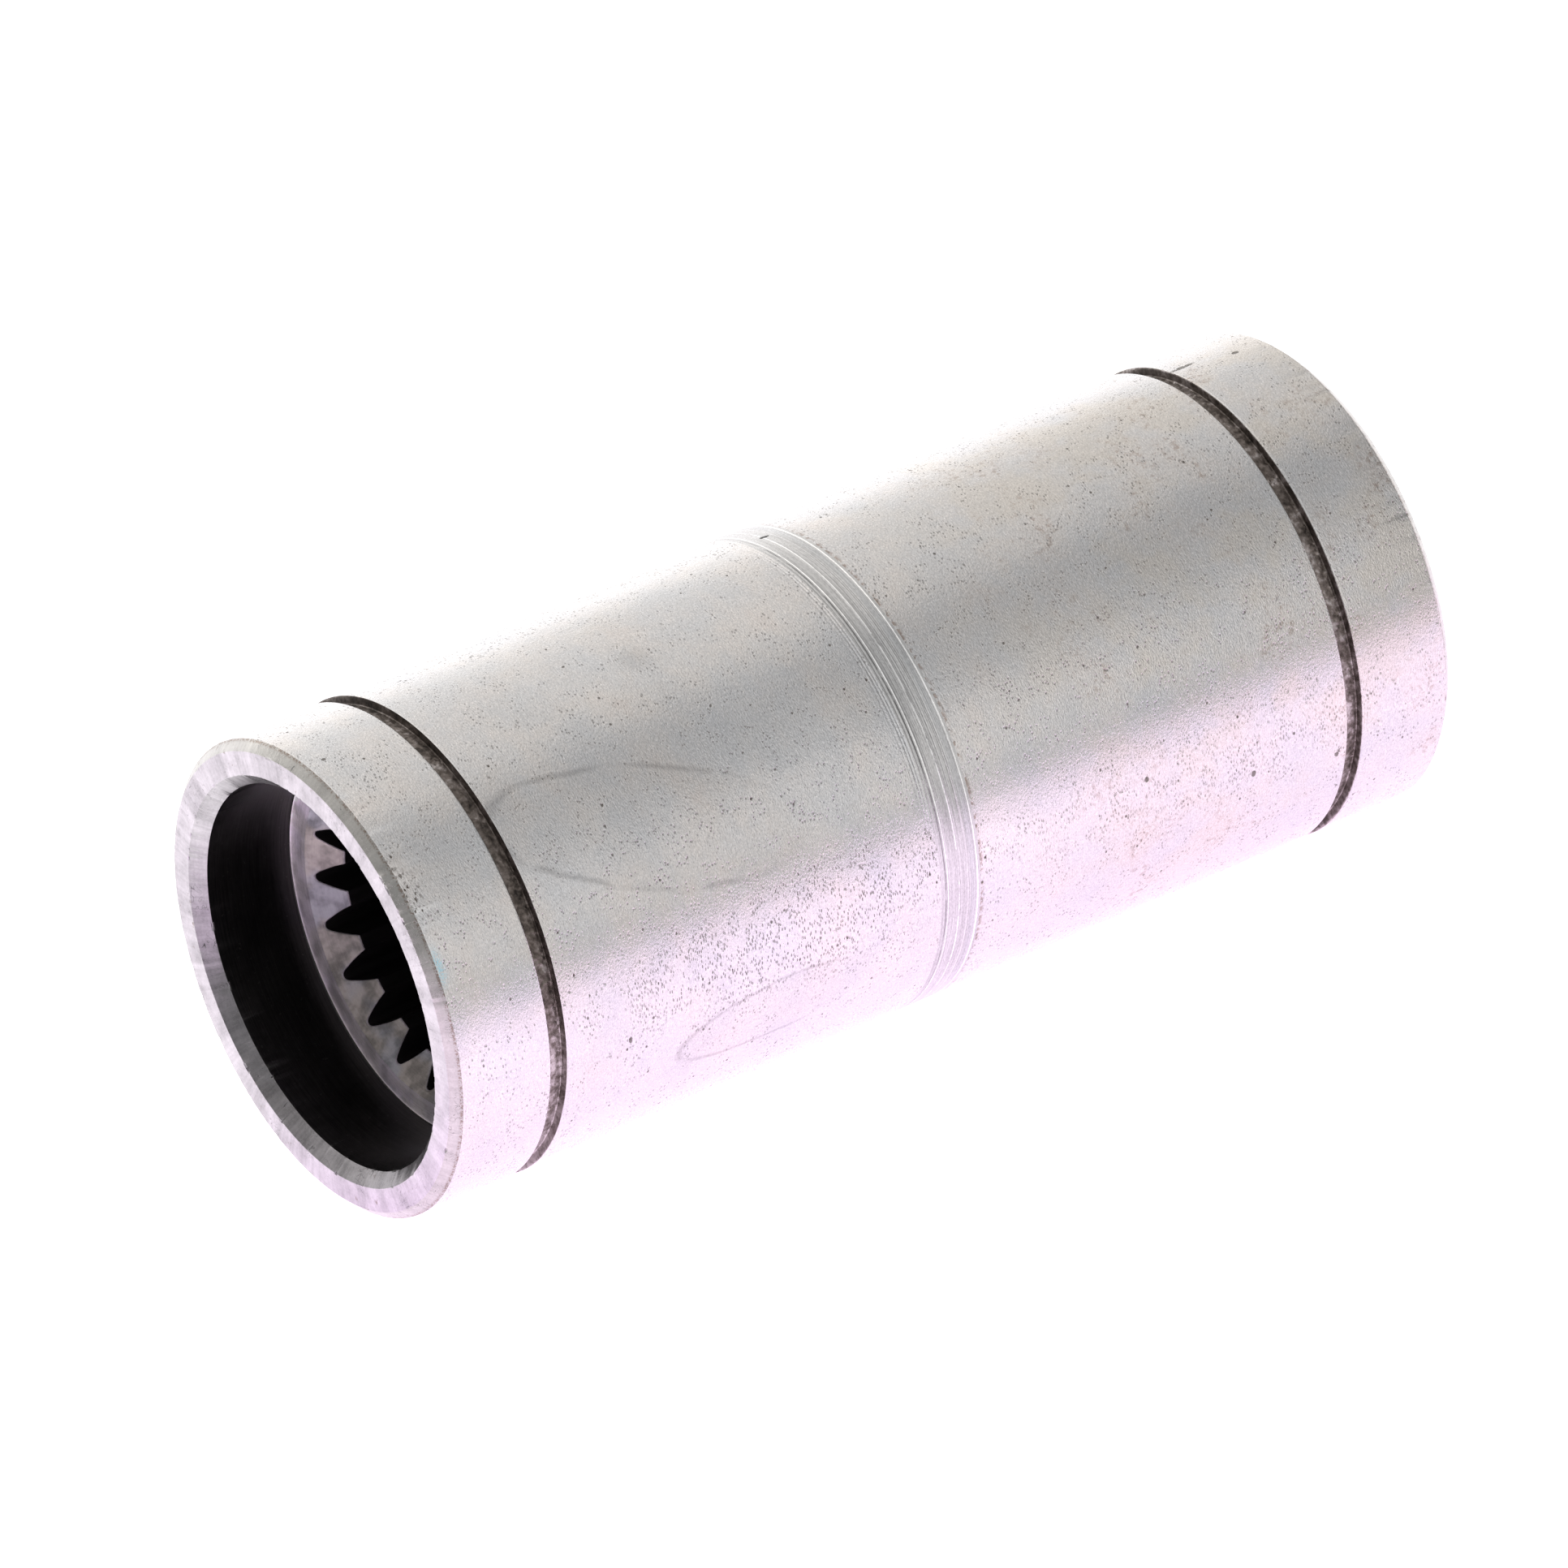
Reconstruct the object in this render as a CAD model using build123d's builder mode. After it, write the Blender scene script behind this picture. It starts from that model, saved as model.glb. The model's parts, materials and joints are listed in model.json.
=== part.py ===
from build123d import *
import os
from math import acos, cos, pi, radians, sin, tan

# Rigid splined sleeve coupling, made as two half sleeves welded end to end around a stop ring.
# Frame: millimetres, +X along the sleeve's axis from the front mouth to the rear mouth, +Z up,
# origin on the axis at mid-length.

# Outside
length = 122.0
outside_diameter = 50.8
end_chamfer = 1.0  # 45 degrees, on the outer edge of each end face

# Retaining-ring groove near each end
ring_groove_offset = 11.5  # end face to the groove's nearer wall
ring_groove_width = 1.85
ring_groove_depth = 0.95

# Internal involute spline, 30 degree pressure angle, fillet root
teeth = 20
spline_module = 25.4 / 16
pressure_angle = radians(30)
root_fillet = 0.38 * spline_module

# Smooth counterbore in each mouth
counterbore_depth = 11.3
counterbore_floor = 2.6  # flat ring between the counterbore's wall and the lead-in to the teeth
lead_in_margin = 0.6  # how far the 45 degree lead-in starts outside the spline's roots
mouth_chamfer = 1.35  # 45 degrees

# Stop ring in the middle, which both shafts butt against
stop_ring_width = 4.0
stop_ring_cover = 1.95  # how far its rim reaches past the spline's roots
shaft_stop_depth = 2.6  # how far its bore lies inside the tips of the teeth
stop_ring_chamfer = 0.4
stop_ring_clearance = 0.05  # radial, in its pocket

# Circumferential weld, turned almost flush
weld_width = 4.8
weld_root_width = 1.0
weld_depth = 3.2
weld_drop = 0.05  # the weld's turned surface lies this much below the sleeve's

# Register under the weld: the front half's spigot enters the rear half's socket
butt_face = 0.6  # where the halves meet, between the weld's root and the spigot
register_clearance = 0.02  # radial
spigot_relief = 0.1  # between the spigot's end and the socket's floor

# Worked out from the sizes above
outer_radius = outside_diameter / 2
half_length = length / 2
step_x = half_length - counterbore_depth
groove_outer_x = half_length - ring_groove_offset
groove_inner_x = groove_outer_x - ring_groove_width
groove_radius = outer_radius - ring_groove_depth
pitch_radius = teeth * spline_module / 2
base_radius = pitch_radius * cos(pressure_angle)
tip_radius = (teeth - 1) * spline_module / 2
root_radius = (teeth + 1.8) * spline_module / 2
first_space_angle = 180 / teeth  # half a tooth's pitch from +Z, so that a tooth stands at the top
lead_in_radius = root_radius + lead_in_margin
lead_in_x = step_x - (lead_in_radius - tip_radius)
bore_radius = lead_in_radius + counterbore_floor
stop_ring_radius = root_radius + stop_ring_cover
pocket_radius = stop_ring_radius + stop_ring_clearance
pocket_x = stop_ring_width / 2
weld_root_radius = outer_radius - weld_depth
socket_radius = weld_root_radius - butt_face
spigot_radius = socket_radius - register_clearance
run_out = 1.0  # how far a cut runs past the metal into open space


def involute(angle):
    return tan(angle) - angle


def space_half_angle(radius):
    """Half the angle that one spline space takes up at a radius, in radians."""
    at_pitch = pi / (2 * teeth) + involute(pressure_angle)
    return at_pitch - involute(acos(base_radius / radius))


def flank_point(radius, side):
    angle = side * space_half_angle(radius)
    return (radius * cos(angle), radius * sin(angle))


def end_outline(side, inner_outline):
    """One half's section as (x, radius) corners: its outer end, then its own inner end."""
    outer_end = [
        (weld_width / 2, outer_radius),
        (groove_inner_x, outer_radius),
        (groove_inner_x, groove_radius),
        (groove_outer_x, groove_radius),
        (groove_outer_x, outer_radius),
        (half_length, outer_radius),
        (half_length, bore_radius),
        (step_x, bore_radius),
        (step_x, lead_in_radius),
        (lead_in_x, tip_radius),
    ]
    return [(side * x, radius) for x, radius in outer_end + inner_outline]


def break_end_edges(half, side):
    """Chamfer the outer edge and the mouth of a half's end face."""
    for rank, size in ((-1, end_chamfer), (0, mouth_chamfer)):
        end_face = half.faces().filter_by(Axis.X).sort_by(Axis.X)[-1 if side > 0 else 0]
        chamfer(end_face.edges().sort_by(SortBy.RADIUS)[rank], length=size)


# One spline space, pointing along +X of its sketch, open towards the axis
with BuildSketch() as spline_space:
    with BuildLine():
        upper_flank = ThreePointArc(*[flank_point(r, 1) for r in (tip_radius, pitch_radius, root_radius)])
        lower_flank = ThreePointArc(*[flank_point(r, -1) for r in (tip_radius, pitch_radius, root_radius)])
        Line(upper_flank @ 1, lower_flank @ 1)
        inner_x = tip_radius - run_out
        Polyline(upper_flank @ 0, (inner_x, (upper_flank @ 0).Y), (inner_x, (lower_flank @ 0).Y), lower_flank @ 0)
    make_face()
    fillet(spline_space.vertices().group_by(Axis.X)[-1], radius=root_fillet)


# Every space of the spline, ready to stand across the axis
with BuildSketch() as spline_spaces:
    with PolarLocations(0, teeth, start_angle=90 + first_space_angle):
        add(spline_space.sketch)


with BuildPart() as front_half:
    with BuildSketch(Plane.XZ):
        with BuildLine():
            Polyline(
                *end_outline(
                    -1,
                    [
                        (pocket_x, tip_radius),
                        (pocket_x, pocket_radius),
                        (spigot_relief - pocket_x, pocket_radius),
                        (spigot_relief - pocket_x, spigot_radius),
                        (0, spigot_radius),
                        (0, weld_root_radius),
                        (weld_root_width / 2, weld_root_radius),
                    ],
                ),
                close=True,
            )
        make_face()
    revolve(axis=Axis.X)
    break_end_edges(front_half, -1)
    with BuildSketch(Plane.YZ.offset(-step_x - run_out)):
        add(spline_spaces.sketch)
    extrude(amount=step_x - pocket_x + 2 * run_out, mode=Mode.SUBTRACT)

with BuildPart() as rear_half:
    with BuildSketch(Plane.XZ):
        with BuildLine():
            Polyline(
                *end_outline(
                    1,
                    [
                        (pocket_x, tip_radius),
                        (pocket_x, socket_radius),
                        (0, socket_radius),
                        (0, weld_root_radius),
                        (weld_root_width / 2, weld_root_radius),
                    ],
                ),
                close=True,
            )
        make_face()
    revolve(axis=Axis.X)
    break_end_edges(rear_half, 1)
    with BuildSketch(Plane.YZ.offset(pocket_x - run_out)):
        add(spline_spaces.sketch)
    extrude(amount=step_x - pocket_x + 2 * run_out, mode=Mode.SUBTRACT)

with BuildPart() as weld_ring:
    with BuildSketch(Plane.XZ):
        with BuildLine():
            surface_radius = outer_radius - weld_drop
            surface_half_width = weld_width / 2 - weld_drop * (weld_width - weld_root_width) / 2 / weld_depth
            Polyline(
                (-weld_root_width / 2, weld_root_radius),
                (weld_root_width / 2, weld_root_radius),
                (surface_half_width, surface_radius),
                (-surface_half_width, surface_radius),
                close=True,
            )
        make_face()
    revolve(axis=Axis.X)

with BuildPart() as stop_ring:
    with BuildSketch(Plane.YZ.offset(-stop_ring_width / 2)):
        Circle(stop_ring_radius)
        Circle(tip_radius - shaft_stop_depth, mode=Mode.SUBTRACT)
    extrude(amount=stop_ring_width)
    chamfer(stop_ring.edges().filter_by(GeomType.CIRCLE), length=stop_ring_chamfer)

pieces = {
    "front_half": front_half,
    "rear_half": rear_half,
    "weld_ring": weld_ring,
    "stop_ring": stop_ring,
}
os.makedirs("parts", exist_ok=True)
for name, piece in pieces.items():
    piece.part.label = name
    export_step(piece.part, f"parts/{name}.step")
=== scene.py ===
import json
import math

import bpy
import numpy as np
from mathutils import Matrix, Vector


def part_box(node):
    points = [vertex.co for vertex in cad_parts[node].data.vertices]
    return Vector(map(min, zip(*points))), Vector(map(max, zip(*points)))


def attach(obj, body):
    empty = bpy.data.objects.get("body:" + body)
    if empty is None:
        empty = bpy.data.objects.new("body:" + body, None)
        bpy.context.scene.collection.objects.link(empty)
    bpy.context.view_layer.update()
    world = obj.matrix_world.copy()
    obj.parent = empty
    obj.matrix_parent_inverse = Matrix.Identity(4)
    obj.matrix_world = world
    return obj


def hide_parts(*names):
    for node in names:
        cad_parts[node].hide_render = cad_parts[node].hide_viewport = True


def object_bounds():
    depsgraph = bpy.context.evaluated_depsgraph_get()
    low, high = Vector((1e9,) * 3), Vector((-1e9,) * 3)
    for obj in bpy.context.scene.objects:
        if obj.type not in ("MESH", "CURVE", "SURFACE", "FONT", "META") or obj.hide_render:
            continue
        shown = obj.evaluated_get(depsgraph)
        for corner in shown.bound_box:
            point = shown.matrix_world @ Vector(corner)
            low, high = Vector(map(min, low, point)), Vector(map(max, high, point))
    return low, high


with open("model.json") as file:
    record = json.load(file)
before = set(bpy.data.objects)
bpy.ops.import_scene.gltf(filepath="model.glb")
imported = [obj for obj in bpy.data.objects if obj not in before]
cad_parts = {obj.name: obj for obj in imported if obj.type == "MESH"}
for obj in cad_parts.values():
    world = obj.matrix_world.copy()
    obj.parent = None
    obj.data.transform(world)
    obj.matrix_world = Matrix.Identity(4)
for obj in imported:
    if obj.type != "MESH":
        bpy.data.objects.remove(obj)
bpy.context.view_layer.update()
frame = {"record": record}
scene = bpy.context.scene
mm = 0.001

camera = {
    "place": (-0.9712, -1.3835, 1.2670),
    "forward": (0.458323, 0.655449, -0.600272),
    "lens": 483.05,
    "sensor": 36.0,
}


def makeCamera():
    data = bpy.data.cameras.new("camera")
    data.lens = camera["lens"]
    data.sensor_width = camera["sensor"]
    data.clip_start = 0.05
    data.clip_end = 60
    made = bpy.data.objects.new("camera", data)
    forward = Vector(camera["forward"]).normalized()
    right = forward.cross(Vector((0, 0, 1))).normalized()
    turn = Matrix((right, right.cross(forward), -forward)).transposed().to_4x4()
    made.matrix_world = Matrix.Translation(camera["place"]) @ turn
    scene.collection.objects.link(made)
    scene.camera = made
    print("camera", tuple(round(v, 4) for v in made.location))


class Wire:
    # wraps one socket, so that maths on a wire adds Math nodes to its tree
    def __init__(self, tree, socket=None):
        self.tree = tree
        self.socket = socket

    def feed(self, target, value):
        if isinstance(value, Wire):
            self.tree.links.new(value.socket, target)
        else:
            target.default_value = value

    def node(self, kind, settings=None, values=None, output=0):
        made = self.tree.nodes.new(kind)
        for name, value in (settings or {}).items():
            if name == "stops":
                setStops(made.color_ramp, value)
            else:
                setattr(made, name, value)
        for name, value in (values or {}).items():
            self.feed(made.inputs[name], value)
        return Wire(self.tree, made.outputs[output])

    def maths(self, operation, *others, clamp=False):
        values = dict(enumerate([self, *others]))
        return self.node("ShaderNodeMath", {"operation": operation, "use_clamp": clamp}, values)

    def __add__(self, other):
        return self.maths("ADD", other)

    def __mul__(self, other):
        return self.maths("MULTIPLY", other)

    def __sub__(self, other):
        return self.maths("SUBTRACT", other)

    def __truediv__(self, other):
        return self.maths("DIVIDE", other)

    def __rsub__(self, other):
        return self.node("ShaderNodeMath", {"operation": "SUBTRACT"}, {0: other, 1: self})

    __radd__ = __add__
    __rmul__ = __mul__

    def __abs__(self):
        return self.maths("ABSOLUTE")

    def clamp(self):
        return self.maths("ADD", 0.0, clamp=True)

    def step(self, low, high):
        # 0 below low, 1 above high, eased in between; runs backwards when low is above high
        flip = low > high
        ends = {"From Min": min(low, high), "From Max": max(low, high)}
        ends.update({"To Min": float(flip), "To Max": float(not flip), "Value": self})
        return self.node("ShaderNodeMapRange", {"interpolation_type": "SMOOTHSTEP"}, ends)

    def bell(self, centre, width):
        # a smooth hump of height 1 at centre, gone at centre plus or minus width
        return abs(self - centre).step(width, 0.0)

    def mixed(self, first, second):
        # colour: first where this wire is 0, second where it is 1
        return self.node("ShaderNodeMix", {"data_type": "RGBA"}, {0: self, 6: first, 7: second}, 2)

    def times(self, colour):
        # a colour, or a wire that carries one, times this wire
        values = {0: colour, "Scale": self}
        return self.node("ShaderNodeVectorMath", {"operation": "SCALE"}, values)

    def stretched(self, scale):
        # this vector times scale, one number for each axis
        return self.node("ShaderNodeVectorMath", {"operation": "MULTIPLY"}, {0: self, 1: scale})

    def ramp(self, stops):
        return self.node("ShaderNodeValToRGB", {"stops": stops}, {"Fac": self})

    def noise(self, detail=2.0, roughness=0.5, distortion=0.0):
        values = {"Vector": self, "Scale": 1.0, "Detail": detail}
        values.update({"Roughness": roughness, "Distortion": distortion})
        return self.node("ShaderNodeTexNoise", {}, values)

    def patches(self, along, across, detail=2.0, roughness=0.5, distortion=0.0):
        # noise with so many patches for each millimetre along the axis and across it
        return self.stretched((along, across, across)).noise(detail, roughness, distortion)

    def cells(self, along, across):
        # distance to the nearest of a scatter of points, in cells, so many for each millimetre
        values = {"Vector": self.stretched((along, across, across)), "Scale": 1.0}
        return self.node("ShaderNodeTexVoronoi", {"feature": "F1"}, values)


def setStops(ramp, stops):
    while len(ramp.elements) < len(stops):
        ramp.elements.new(0.5)
    for element, (position, colour) in zip(ramp.elements, stops):
        element.position = position
        element.color = colour


def grey(value, warm=0.0, pink=0.0):
    # a nearly neutral colour, warmer or pinker by a small share
    return (value * (1 + warm), value * (1 - pink), value * (1 - warm), 1.0)


def newMaterial(name):
    # returns the material, a first wire, its Principled node and its coordinates in millimetres
    material = bpy.data.materials.new(name)
    material.use_nodes = True
    tree = material.node_tree
    start = Wire(tree)
    place = start.node("ShaderNodeTexCoord", {}, {}, "Object").stretched((1000, 1000, 1000))
    return material, start, tree.nodes["Principled BSDF"], place


def axes(place):
    # the three coordinates of a place
    return [place.node("ShaderNodeSeparateXYZ", {}, {0: place}, axis) for axis in "XYZ"]


def polar(place):
    # x along the axis, radius, and the way round in radians from the top towards the front side
    x, y, z = axes(place)
    return x, (y * y + z * z).maths("SQRT"), (0 - y).maths("ARCTAN2", z)


def circles(place, count, detail=2.0, roughness=0.6):
    # noise that changes only with the radius, count patches for each millimetre
    radius = polar(place)[1]
    line = place.node("ShaderNodeCombineXYZ", {}, {0: radius * count})
    return line.noise(detail, roughness)


def spokes(place, count, detail=2.0):
    # noise that changes only with the way round, count patches for each radian
    outward = place.stretched((0, 1, 1))
    facing = outward.node("ShaderNodeVectorMath", {"operation": "NORMALIZE"}, {0: outward})
    return facing.patches(count, count, detail)


def patternsOf(place, looks):
    # noise patterns by name: each look has the patches for each millimetre along and across the axis, then
    # the detail, roughness and distortion
    return {name: place.patches(*look) for name, look in looks.items()}


def weighted(shares, patterns):
    # the base share plus each named pattern times its own share
    total = shares.get("base", 0)
    for name, share in shares.items():
        if name != "base":
            total = total + patterns[name] * share
    return total


def finishMaterial(material, start, shader, look):
    # feeds the shader's inputs by name; a bump is a height and the distance that it stands for
    for name, value in look.items():
        if name == "Bump":
            height, distance = value
            bump = start.node("ShaderNodeBump", {}, {"Height": height, "Strength": 1.0, "Distance": distance})
            start.feed(shader.inputs["Normal"], bump)
        else:
            start.feed(shader.inputs[name], value)
    return material


mounts = {mount["name"]: mount for mount in frame["record"]["mounts"]}


def mmBox(node):
    # a CAD node's box, in millimetres
    low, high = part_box(node)
    return np.array(low) / mm, np.array(high) / mm


def alongAxis(mount):
    # where a mount's near and far ends lie along the axis, as distances from mid-length
    middle = abs(mount["pos_m"][0]) / mm
    reach = mount["dims"]["length_mm"] / 2
    return middle - reach, middle + reach


halfLow, halfHigh = mmBox("front_half")
stopLow, stopHigh = mmBox("stop_ring")
boreStart, boreEnd = alongAxis(mounts["front_counterbore"])
grooveStart, grooveEnd = alongAxis(mounts["front_ring_groove"])

sleeve = {
    "endX": -halfLow[0],
    "outerRadius": halfHigh[2],
    "boreRadius": mounts["front_counterbore"]["dims"]["r_mm"],
    "stepX": boreStart,
    "mouthChamfer": -halfLow[0] - boreEnd,
    "endChamfer": 1.0,
    "grooveInnerX": grooveStart,
    "grooveOuterX": grooveEnd,
    "grooveRadius": mounts["front_ring_groove"]["dims"]["r_mm"],
    "weldX": 2.4,  # where the halves' outsides stop and the weld begins
    "weldRootX": 0.5,
    "weldRootRadius": 22.2,
    "spigotRadius": 21.58,
    "socketRadius": 21.6,
    "spigotX": 1.9,
    "pocketX": stopHigh[0],
    "pocketRadius": stopHigh[2] + 0.05,
    "edge": 0.10,  # rounding of an ordinary edge
    "grooveEdge": 0.08,
    "grooveWornEdge": 0.20,  # rounding of the groove's edge nearer the mouth
    "grooveCorner": 0.12,
    "grooveGrit": 0.030,  # how rough the groove's floor is
    "cornerRadius": 0.3,  # inner corner of the counterbore
    "toothEdge": 0.15,
    "grooveTurns": (60, 300),  # the roughness is a ring noise of these whole turns
    "frontSeed": 11,
    "rearSeed": 51,
    "grooveSeed": 100,
}

ground = {
    "noise": {
        # patches for each millimetre along and across the axis, detail, roughness
        "grain": (6.5, 3.6, 2.0, 0.6),
        "fine": (10.0, 6.0, 1.0, 0.5),
        "streaks": (8.0, 0.9, 2.0, 0.5),
        "blotch": (0.11, 0.11, 4.0, 0.62),
        "cloud": (0.035, 0.035, 3.0, 0.5),
        "tint": (0.16, 0.128, 4.0, 0.65),
        "spread": (0.45, 0.45, 2.0, 0.5),
        "wander": (0.16, 0.16, 2.0, 0.5),
        "knocks": (2.6, 1.7, 2.0, 0.6),
        "rust": (1.3, 1.3, 3.0, 0.7),
        "edgeRust": (1.7, 1.7, 2.0, 0.6),
    },
    "scatters": {
        # marks, one to a cell: cells for each millimetre along and across the axis, how far from its middle a
        # mark ends and is whole, and the spread noise from which there are any and from which there are all
        "pits": ((2.85, 1.8), (0.34, 0.14), (0.44, 0.60)),
        "specks": ((0.65, 0.50), (0.105, 0.055), (0.44, 0.56)),
        "dashes": ((4.2, 1.65), (0.36, 0.18), (0.30, 0.48)),
    },
    # the flecks are painted sparkle highlights: small bright specks added to the steel's shade
    "fleckRange": (0.56, 0.74),
    "knockRange": (0.56, 0.62),
    "toneShares": {"tint": 0.78, "fine": 0.22},
    "tones": [(0.30, grey(0.59, -0.018, 0.006)), (0.45, grey(0.62, 0.004, 0.006)),
              (0.60, grey(0.64, 0.036, 0.006)), (0.74, grey(0.60, 0.070, 0.018))],
    "shade": {"base": 0.45, "blotch": 0.18, "cloud": 0.12, "grain": 0.62, "flecks": 0.17},
    "roughness": {"base": 0.10, "blotch": 0.14, "dirt": 0.25, "film": 0.20},
    "relief": {"grain": 0.7, "fine": 0.3, "streaks": 0.3, "pits": -0.9, "dashes": -1.0, "specks": -1.0},
    "reliefHeight": 0.052,
    "dirtShares": {"pits": 0.44, "dashes": 0.68, "specks": 0.85, "bruise": 1.0},
    "dirtColour": grey(0.10, 0.15),
    "dirtMetalLoss": 0.4,
    # ovals: x, degrees from the top, half length, half width, then how far out each ends and is whole
    "smudge": (-23.5, 5.0, 2.6, 2.6),
    "smudgeEdge": (1.0, 0.1),
    "smudgeShare": 0.12,
    "gritPatches": [
        # where the dashes are, and their share there
        ((-20.0, 80.0, 24.0, 7.5), 1.0),
        ((30.0, 83.0, 28.0, 7.0), 0.5),
    ],
    "gritEdge": (1.25, 0.5),
    "bruise": (-60.0, 38.5, 1.9, 4.0),  # brown specks beside the knocked rim
    "bruiseEdge": (1.2, 0.4),
    "spots": [
        # small rust spots
        (-58.0, -3.5, 0.20, 0.18), (-40.0, 91.0, 0.17, 0.32), (46.5, 95.0, 0.28, 0.34),
        (36.0, 90.5, 0.22, 0.30), (23.0, 80.0, 0.20, 0.24), (51.0, -18.5, 1.2, 0.24),
        (56.5, -15.0, 0.34, 0.24),
    ],
    "spotEdge": (1.1, 0.6),
    "spotRaggedness": 0.7,
    # a painted glint: a small blue spot near the mouth, painted into the steel's colour
    "blueSpot": (-59.8, 55.5, 1.1, 2.9),
    "blueEdge": (1.0, 0.2),
    "blueRange": (0.42, 0.60),
    "blueShare": 0.9,
    "blueColour": (0.36, 0.60, 0.70, 1),
    # a darkening that grows along the axis towards the rear end, and tan and rust patches that do: from and
    # to x, share
    "filmAlong": (-8.0, 45.0),
    "filmShare": 0.055,
    "tanAlong": (-2.0, 26.0),
    "tanRange": (0.44, 0.62),
    "tanShare": 0.75,
    "tanColour": (0.63, 0.592, 0.545, 1),
    "farRustAlong": (4.0, 24.0),
    "rustRange": (0.50, 0.66),
    "farRustShare": 0.48,
    "rustColour": (0.21, 0.135, 0.095, 1),
    # rust beside the weld: x, reach, range of its noise, share
    "edgeRustPlace": (2.45, 0.55),
    "edgeRustRange": (0.44, 0.58),
    "edgeRustShare": 0.65,
}

tide = {
    "marks": [
        # x, degrees from the top, half length, half width, turn in degrees, strength
        (-21.8, 100.5, 12.0, 3.7, -3.0, 0.24),
        (-32.4, 44.5, 17.6, 6.2, 22.0, 0.26),
    ],
    "wander": 0.22,
    "rimWidth": 0.085,  # as a share of the oval's reach
    "rimRange": (0.28, 0.50),
    "openFrom": 0.85,  # the rim fades towards its right end between these shares of the half length
    "openTo": 0.2,
    "openRim": 0.15,  # what is left of it there
    "filmEdge": (1.0, 0.86),
    "filmShare": 0.16,
}


def oval(x, along, place, turn=0.0):
    # 0 in the middle of an oval and 1 on its line; place is x, degrees from the top, half length, half width
    centreX, degrees, halfLength, halfWidth = place
    cosTurn, sinTurn = math.cos(math.radians(turn)), math.sin(math.radians(turn))
    right = x - centreX
    down = along - math.radians(degrees) * sleeve["outerRadius"]
    u = (right * cosTurn + down * sinTurn) / halfLength
    v = (down * cosTurn - right * sinTurn) / halfWidth
    return (u * u + v * v).maths("SQRT")


def tideMark(x, along, mark, wander):
    # the thin dark rim that a dried drop leaves, which wanders a little, round a faintly darker film
    middle, halfLength, strength = mark[0], mark[2], mark[5]
    reach = oval(x, along, mark[:4], mark[4]) + (wander - 0.5) * tide["wander"]
    closed = x.step(middle + halfLength * tide["openFrom"], middle + halfLength * tide["openTo"])
    rim = reach.bell(1.0, tide["rimWidth"]) * wander.step(*tide["rimRange"])
    rim = rim * (tide["openRim"] + (1 - tide["openRim"]) * closed)
    return (rim + reach.step(*tide["filmEdge"]) * tide["filmShare"]) * strength


def scatter(place, spread, look):
    # small marks at scattered points, kept where the spread noise is high
    count, size, kept = look
    return place.cells(*count).step(*size) * spread.step(*kept)


def groundMarks(x, along, place, patterns):
    # adds the flecks, which are painted sparkle highlights, the dark marks and the knocked rim's specks to
    # the patterns
    g = ground
    for name, look in g["scatters"].items():
        patterns[name] = scatter(place, patterns["spread"], look)
    patterns["flecks"] = patterns["fine"].step(*g["fleckRange"])
    knocks = patterns["knocks"].step(*g["knockRange"])
    grit = 0
    for patch, share in g["gritPatches"]:
        grit = grit + oval(x, along, patch).step(*g["gritEdge"]) * share
    patterns["dashes"] = patterns["dashes"] * grit
    for spot in g["spots"]:
        reach = oval(x, along, spot) + (knocks - 0.5) * g["spotRaggedness"]
        patterns["specks"] = patterns["specks"] + reach.step(*g["spotEdge"])
    patterns["bruise"] = oval(x, along, g["bruise"]).step(*g["bruiseEdge"]) * knocks
    patterns["dirt"] = weighted(g["dirtShares"], patterns).clamp()


def groundSteel():
    # the ground outside: short marks round the axis, small pits, blotches, dried tide marks and rust specks
    g = ground
    material, start, shader, place = newMaterial("ground_steel_surface")
    x, _, angle = polar(place)
    along = angle * sleeve["outerRadius"]
    patterns = patternsOf(place, g["noise"])
    groundMarks(x, along, place, patterns)

    smudge = oval(x, along, g["smudge"]).step(*g["smudgeEdge"])
    # the steel is darker towards the rear end, and under the smudge and the tide marks
    film = x.step(*g["filmAlong"]) * g["filmShare"] + smudge * g["smudgeShare"]
    for mark in tide["marks"]:
        film = film + tideMark(x, along, mark, patterns["wander"])
    patterns["film"] = film
    clean = weighted(g["toneShares"], patterns).ramp(g["tones"])
    tan = patterns["blotch"].step(*g["tanRange"]) * x.step(*g["tanAlong"]) * g["tanShare"]
    toned = (weighted(g["shade"], patterns) * (1 - film)).times(tan.mixed(clean, g["tanColour"]))

    rust = patterns["rust"].step(*g["rustRange"]) * patterns["tint"].step(*g["rustRange"])
    rust = rust * x.step(*g["farRustAlong"]) * g["farRustShare"]
    edgeRust = x.bell(*g["edgeRustPlace"]) * patterns["edgeRust"].step(*g["edgeRustRange"])
    edgeRust = edgeRust * g["edgeRustShare"]
    stained = (edgeRust + rust).clamp().mixed(toned, g["rustColour"])
    # painted glint: the small blue spot near the mouth
    blue = oval(x, along, g["blueSpot"]).step(*g["blueEdge"]) * patterns["fine"].step(*g["blueRange"])
    tinted = (blue * g["blueShare"]).mixed(stained, g["blueColour"])

    return finishMaterial(material, start, shader, {
        "Base Color": patterns["dirt"].mixed(tinted, g["dirtColour"]),
        "Metallic": 1.0 - g["dirtMetalLoss"] * patterns["dirt"],
        "Roughness": weighted(g["roughness"], patterns),
        "Bump": (weighted(g["relief"], patterns), g["reliefHeight"] * mm),
    })


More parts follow.
